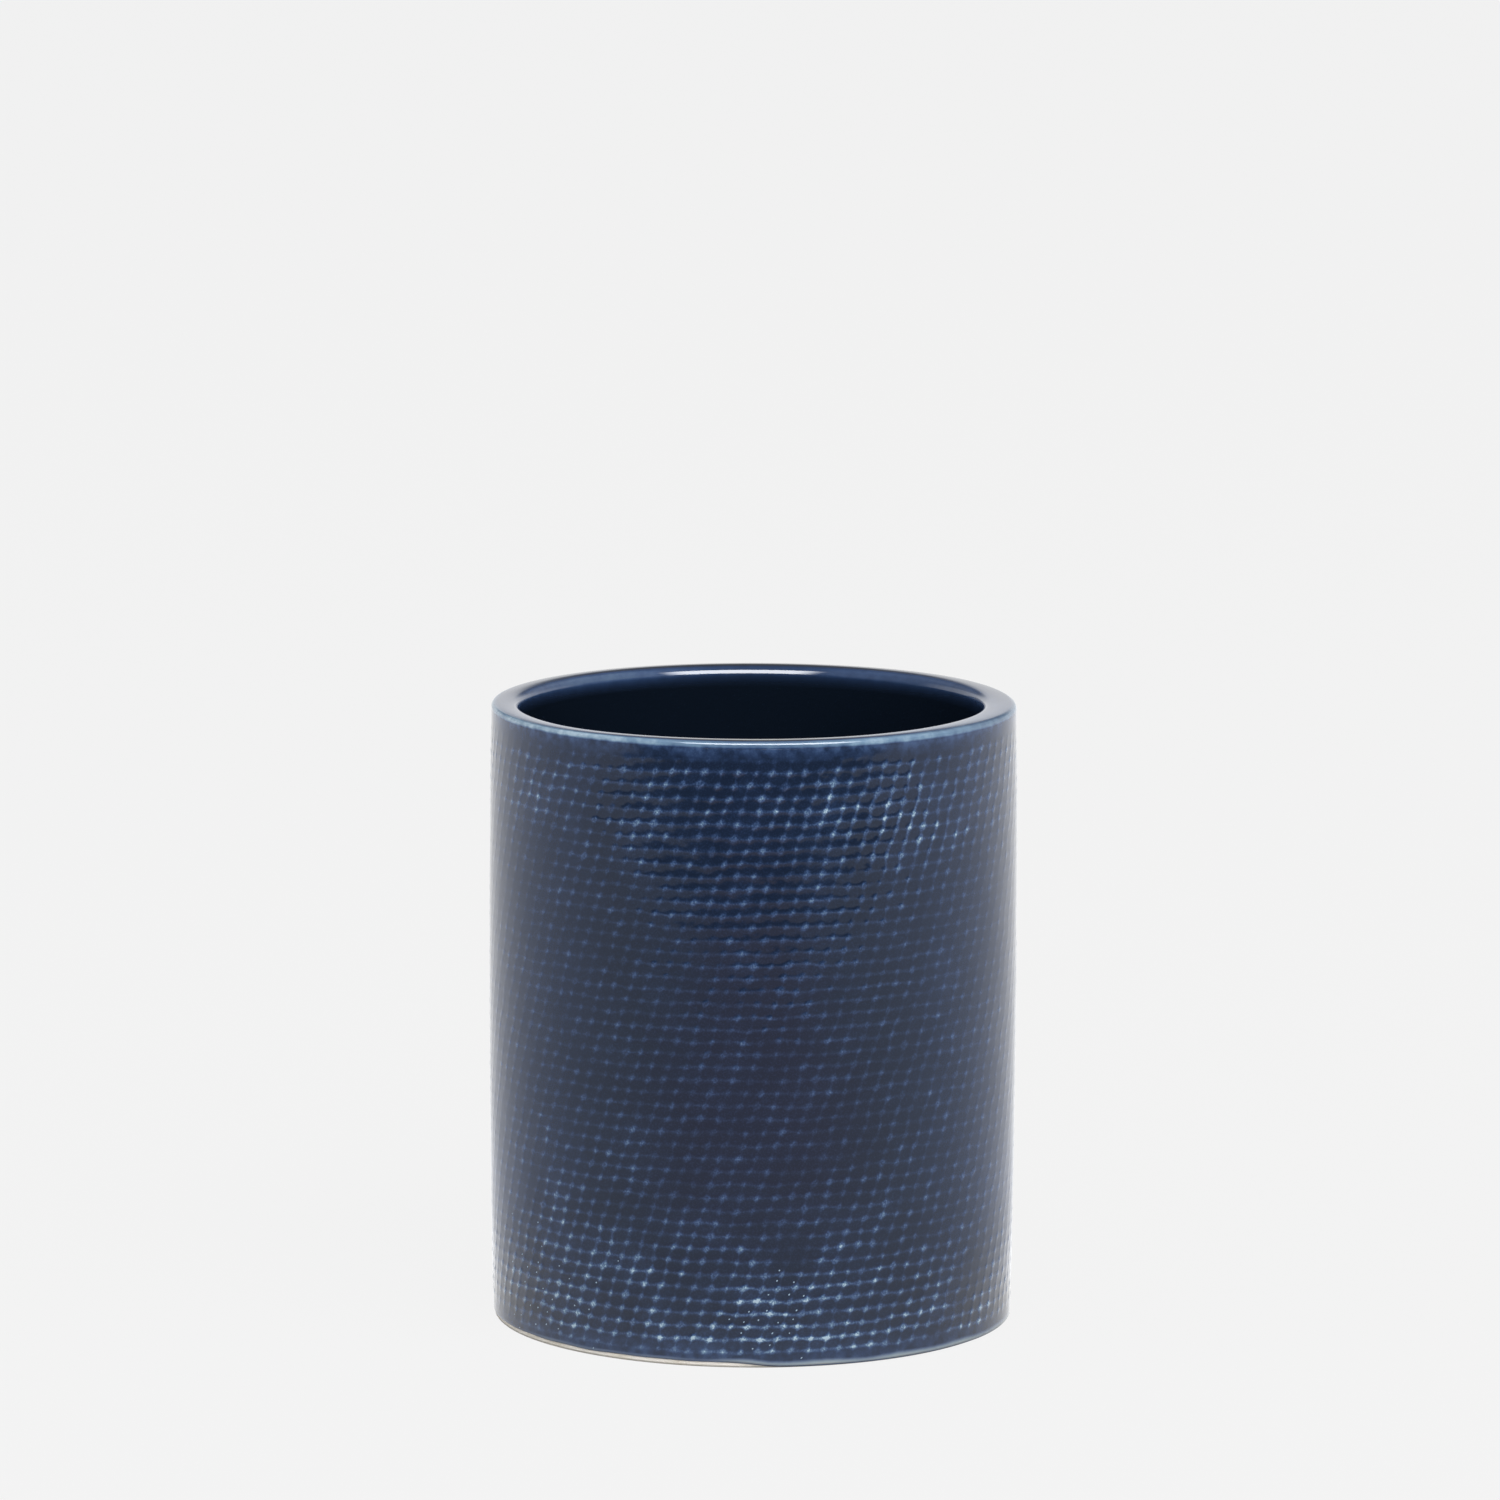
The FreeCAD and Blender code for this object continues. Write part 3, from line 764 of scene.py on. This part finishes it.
def addLinerCoat():
    columns = linerCoat["columns"]
    azimuth = np.linspace(-math.pi, math.pi, columns + 1)[None, :]
    top, glaze, seam = cup["lipTop"], cup["glaze"], cup["seam"]
    bore = cup["lipRadius"] - cup["wall"]
    inner, crown = cup["lipInnerRound"], cup["lipCrownRound"]
    corner = cup["floorCorner"]
    floor = cup["insideFloor"]
    usual, softer = linerCoat["edgeRounds"]
    edgeRound = usual + softer * softBand(azimuth, *linerCoat["softerAt"])
    outSlope = math.radians(cup["lipCrownTilt"])
    outSine = math.sin(outSlope)
    crownReach = cup["wall"] - edgeRound * (1 - outSine) - inner - crown * outSine
    inSlope = np.arcsin(crownReach / (crown - inner))
    innerZ = top - crown + (crown - inner) * np.cos(inSlope)
    lipWave = patchField(azimuth, top + 0 * azimuth, linerCoat["lipRises"])
    edgeRings, crownRings, innerRings = linerCoat["lipRings"]
    boreRings, cornerRings, floorRings = linerCoat["boreRings"]

    def lipCurve(inset):
        # rings from the seam, over the lip, to the start of the bore, inset under the surface
        rings = [(cup["lipRadius"] - inset + 0 * azimuth, level + 0 * azimuth)
                 for level in (seam, seam + cup["closeRing"])]
        centreR = cup["lipRadius"] - edgeRound
        crownR = centreR + (edgeRound - crown) * outSine
        centreZ = top - crown + (crown - edgeRound) * math.cos(outSlope)
        for turn in np.linspace(math.pi / 2, outSlope, edgeRings):
            reach = np.maximum(edgeRound - inset, linerCoat["leastRound"])
            rings.append((centreR + reach * math.sin(turn), centreZ + reach * math.cos(turn)))
        for along in np.linspace(0, 1, crownRings)[1:]:
            turn = outSlope - (outSlope + inSlope) * along
            rings.append((crownR + (crown - inset) * np.sin(turn),
                          top - crown + (crown - inset) * np.cos(turn)))
        for along in np.linspace(0, 1, innerRings)[1:]:
            turn = inSlope + (math.pi / 2 - inSlope) * along
            rings.append((bore + inner - (inner - inset) * np.sin(turn),
                          innerZ + (inner - inset) * np.cos(turn)))
        return rings

    def boreCurve(inset):
        # rings from the bore down into the floor, to the last ring before the middle
        rings = []
        for down in np.linspace(0, 1, boreRings)[1:] ** 2:  # close together near the lip
            rings.append((bore + inset + 0 * azimuth, innerZ - (innerZ - floor - corner) * down))
        for turn in np.linspace(0, math.pi / 2, cornerRings)[1:]:
            rings.append((bore - corner + (corner + inset) * math.cos(turn) + 0 * azimuth,
                          floor + corner - (corner + inset) * math.sin(turn) + 0 * azimuth))
        for radius in np.linspace(bore - corner, 0, floorRings)[1:-1]:
            rings.append((radius + 0 * azimuth, floor - inset + 0 * azimuth))
        return rings

    shown = lipCurve(0) + boreCurve(0)
    hidden = (lipCurve(glaze) + boreCurve(glaze))[::-1]
    radius = np.array([r[0] for r, z in hidden + shown])
    height = np.array([z[0] for r, z in hidden + shown])
    aboveSeam, over = linerCoat["lipRiseFrom"]
    nearTop = np.clip((height - seam - aboveSeam) / over, 0, 1)
    height = height + lipWave * nearTop
    fromFloor, over = linerCoat["insetFrom"]
    inside = np.clip((cup["lipRadius"] - glaze - radius) / linerCoat["insetSoft"], 0, 1)
    inside = inside * np.clip((height - floor - fromFloor) / over, 0, 1)
    inside[:len(hidden)] = 0
    thicker = linerCoat["boreInset"] * softBand(azimuth, *linerCoat["insetAt"])
    radius = radius - thicker * inside
    piece = turnedMesh("linerGlaze", radius, height, poles=(floor - glaze, floor),
                       flatRings=(len(hidden) - 1,))
    values = lipThinness(azimuth, radius, height)[:, :-1].ravel()
    setField(piece, "lipThin", np.concatenate([values, [0, 0]]))
    piece.data.materials.append(smoothGlaze)
    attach(piece, "root")
    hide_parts("liner_glaze")
    print("liner coat:", len(piece.data.polygons), "faces")


addLinerCoat()


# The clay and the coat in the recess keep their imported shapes

for nodeName, material in (("clay_body", clay), ("base_glaze", smoothGlaze)):
    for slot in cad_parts[nodeName].material_slots:
        slot.material = material
print("clay and base glaze: finished")


# Stage: a pale table, a pale surround, one large soft lamp from the right

stage = {
    "tone": "#F2F2F2",
    "tableSize": 8000,
    "tableDrop": 0.02,       # just clear of the foot
    "tableEdge": 470,        # in front of the cup the lit part of the table ends here
    "lampAzimuth": 23,       # degrees to the right of the camera
    "lampHeight": 42,
    "lampDistance": 1600,
    "lampSize": (2200, 1250),
    "lampPower": 32,
    "lampShine": 17.5,       # how bright the softbox's face shows in the glaze, and where
    "shineAzimuth": 7,
    "shineHeight": 40,
    "shineSize": (2500, 1000),
    "fill": 0.35,
    "surroundShine": 1.3,
    "roomShine": 0.2,
    "sideShine": 0.8,
    "sideSize": (900, 900),  # a weak panel on the left
    "sidePlace": (-1250, -350, 420),
    "sidePower": 5,
    "darkSize": (3600, 900),     # the dark room behind the camera
    "darkPlace": (0, -1900, 450),
    "darkShine": 0.08,
    "cardFade": 0.55,        # a card fades out from this share of its half width
    "aimHeight": 60,
    "wallTop": 10,           # degrees up, to where the surround is bright
    "roomFrom": 18,          # and from where the room is dark
    "wallBehind": 0.35,
    "roomAside": (0.2, 0.6),
    "leftRoom": 0.6,
}
# How the paper shows in the glaze's shine. Away is from the cup's axis. Towards goes from -1
# straight in front of the cup to 1 straight behind it.
tableShine = {
    "frontAway": (100, 240),
    "front": (0.56, 0.44),
    "behindTowards": 0.85,
    "behind": 1.17,
    "pastEdge": 0.12,        # past the lit part
    "edgeSoft": 20,
    "sidesAway": 120,
    "left": 0.91,
    "right": 1.03,
    "closeAway": (50, 100),
    "close": 1.35,
    "warmTone": (1, 0.80, 0.75, 1),
    "warmAside": (70, 240),
    "warmAhead": (-200, -90),
    "coolTone": (-0.03, 0.05, 0.28),
    "coolTowards": (-0.6, -0.1),
    "coolUntil": (0.3, 1.0),
    "coolAway": (50, 130),
    "matte": 0.03,
    "glow": 0.978,
    "bounce": 0.55,
}


def aimAtCup(thing, place):
    thing.location = place
    aim = Vector((0, 0, stage["aimHeight"] * mm))
    thing.rotation_euler = (aim - place).to_track_quat("-Z", "Y").to_euler()


def flatSheet(name, width, tall):  # half of each, in metres
    mesh = bpy.data.meshes.new(name)
    corners = [(-width, -tall, 0), (width, -tall, 0), (width, tall, 0), (-width, tall, 0)]
    mesh.from_pydata(corners, [], [(0, 1, 2, 3)])
    sheet = bpy.data.objects.new(name, mesh)
    bpy.context.scene.collection.objects.link(sheet)
    return sheet


def addCard(name, size, place, strength):
    # a flat card that faces the cup and shows only as a reflection
    width, tall = (side / 2 for side in metres(size))
    card = flatSheet(name, width, tall)
    aimAtCup(card, place)
    material, tree = newMaterial(name + "Light")
    # its ends fade out
    where = addNode(tree, "TexCoord").outputs["Object"]
    along = addNode(tree, "SeparateXYZ", [where]).outputs[0]
    along = addNode(tree, "Math", [along], operation="ABSOLUTE")
    full = width * stage["cardFade"]
    glow = addNode(tree, "MapRange", [along, full, width, strength, 0.0], **smooth)
    glow = addNode(tree, "Emission", {"Strength": glow})
    addNode(tree, "OutputMaterial", [glow])
    card.data.materials.append(material)
    for ray in ("camera", "diffuse", "transmission", "volume_scatter", "shadow"):
        setattr(card, "visible_" + ray, False)


def addLamp(name, size, place, power):
    lamp = bpy.data.lights.new(name, "AREA")
    lamp.shape = "RECTANGLE"
    lamp.size, lamp.size_y = metres(size)
    lamp.energy = power
    holder = bpy.data.objects.new(name, lamp)
    bpy.context.scene.collection.objects.link(holder)
    aimAtCup(holder, place)
    holder.visible_camera = False
    holder.visible_glossy = False


def addTable():
    half = stage["tableSize"] * mm / 2
    table = flatSheet("table", half, half)
    table.location.z = -stage["tableDrop"] * mm
    # White paper laid on a table: flat and even to the eye, with a faint shadow. In the
    # glaze's shine it falls off towards the camera, where the lamp doesn't reach.
    material, tree = newMaterial("matteTablePaper")
    look = tableShine
    light = addNode(tree, "LightPath")
    where = addNode(tree, "NewGeometry").outputs["Position"]
    place = addNode(tree, "SeparateXYZ", [where])
    sideways, ahead = place.outputs[0], place.outputs[1]
    edge = -stage["tableEdge"] * mm
    # the paper shows brightest behind the cup, darkest in front of it, and bright close by
    away = addNode(tree, "VectorMath", [where], operation="LENGTH").outputs["Value"]
    towards = addNode(tree, "Math", [ahead, away], operation="DIVIDE")
    inFront = addNode(tree, "MapRange", [away, *metres(look["frontAway"]), *look["front"]])
    near = addNode(tree, "MapRange",
                   [towards, -1.0, look["behindTowards"], inFront, look["behind"]])
    past = edge - look["edgeSoft"] * mm
    cut = addNode(tree, "MapRange", [ahead, past, edge, look["pastEdge"], 1.0], **smooth)
    # and a little brighter on the lamp's side
    sides = look["sidesAway"] * mm
    across = addNode(tree, "MapRange", [sideways, -sides, sides, look["left"], look["right"]])
    closeBy = addNode(tree, "MapRange",
                      [away, *metres(look["closeAway"]), look["close"], 1.0], **smooth)
    shine = near
    for gain in (cut, across, closeBy):
        shine = addNode(tree, "Math", [shine, gain], operation="MULTIPLY")
    paper = colour(stage["tone"])
    matte = addNode(tree, "BsdfDiffuse", {"Color": grey(look["matte"])})
    glow = addNode(tree, "Emission", {"Color": paper, "Strength": look["glow"]})
    seen = addNode(tree, "AddShader", [matte, glow])
    # straight in front it shows warmer
    offMiddle = addNode(tree, "Math", [sideways], operation="ABSOLUTE")
    warmth = addNode(tree, "MapRange", [offMiddle, *metres(look["warmAside"]), 1.0, 0.0])
    before = addNode(tree, "MapRange", [ahead, *metres(look["warmAhead"]), 1.0, 0.0])
    warmth = addNode(tree, "Math", [warmth, before], operation="MULTIPLY")
    shineTone = addNode(tree, "MixRGB", [warmth, grey(1), look["warmTone"]])
    # and beside the cup cooler, but not close by
    cool = addNode(tree, "MapRange", [towards, *look["coolTowards"]])
    until = addNode(tree, "MapRange", [towards, *look["coolUntil"], 1.0, 0.0])
    notClose = addNode(tree, "MapRange", [away, *metres(look["coolAway"])])
    for gain in (until, notClose):
        cool = addNode(tree, "Math", [cool, gain], operation="MULTIPLY")
    shineTone = addNode(tree, "VectorMath", [cool, look["coolTone"], shineTone],
                        operation="MULTIPLY_ADD")
    mirrored = addNode(tree, "Emission", {"Color": shineTone, "Strength": shine})
    bounced = addNode(tree, "BsdfDiffuse", {"Color": grey(look["bounce"])})
    other = addNode(tree, "MixShader", [light.outputs["Is Glossy Ray"], bounced, mirrored])
    both = addNode(tree, "MixShader", [light.outputs["Is Camera Ray"], other, seen])
    addNode(tree, "OutputMaterial", [both])
    table.data.materials.append(material)


def lampPlace(azimuth, height):
    # degrees to the right of the camera, and up
    turn, lift = math.radians(azimuth), math.radians(height)
    level = math.cos(lift)
    towards = Vector((math.sin(turn) * level, -math.cos(turn) * level, math.sin(lift)))
    return towards * (stage["lampDistance"] * mm)


def addLights():
    world = bpy.data.worlds.new("paleStudio")
    bpy.context.scene.world = world
    world.use_nodes = True
    tree = world.node_tree
    tree.nodes.clear()
    light = addNode(tree, "LightPath")
    # in the shine the surround is a bright low wall with the dark room above it
    direction = addNode(tree, "TexCoord").outputs["Generated"]
    towards = addNode(tree, "SeparateXYZ", [direction])
    aside = addNode(tree, "Math", [towards.outputs[0]], operation="ABSOLUTE")
    dark = stage["roomShine"]
    behind = addNode(tree, "MapRange",
                     [towards.outputs[1], 0.0, stage["wallBehind"], dark, stage["surroundShine"]],
                     **smooth)
    room = addNode(tree, "MapRange",
                   [aside, *stage["roomAside"], dark, stage["sideShine"]], **smooth)
    leftEnd = -stage["roomAside"][1]
    darkSide = addNode(tree, "MapRange",
                       [towards.outputs[0], leftEnd, 0.0, stage["leftRoom"], 1.0])
    room = addNode(tree, "Math", [room, darkSide], operation="MULTIPLY")
    low, high = (math.sin(math.radians(stage[key])) for key in ("wallTop", "roomFrom"))
    wall = addNode(tree, "MapRange", [towards.outputs[2], low, high, behind, room], **smooth)
    fill = addNode(tree, "Background", {"Strength": stage["fill"]})
    mirrored = addNode(tree, "Background", {"Strength": wall})
    plain = addNode(tree, "MixShader", [light.outputs["Is Glossy Ray"], fill, mirrored])
    backdrop = addNode(tree, "Background", {"Color": colour(stage["tone"])})
    both = addNode(tree, "MixShader", [light.outputs["Is Camera Ray"], plain, backdrop])
    addNode(tree, "OutputWorld", [both])

    place = lampPlace(stage["lampAzimuth"], stage["lampHeight"])
    addLamp("softbox", stage["lampSize"], place, stage["lampPower"])
    place = Vector(metres(stage["sidePlace"]))
    addLamp("sidePanel", stage["sideSize"], place, stage["sidePower"])
    place = lampPlace(stage["shineAzimuth"], stage["shineHeight"])
    addCard("softboxFace", stage["shineSize"], place, stage["lampShine"])
    place = Vector(metres(stage["darkPlace"]))
    addCard("darkStudio", stage["darkSize"], place, stage["darkShine"])


addTable()
addLights()
print("stage: table, surround, softbox")
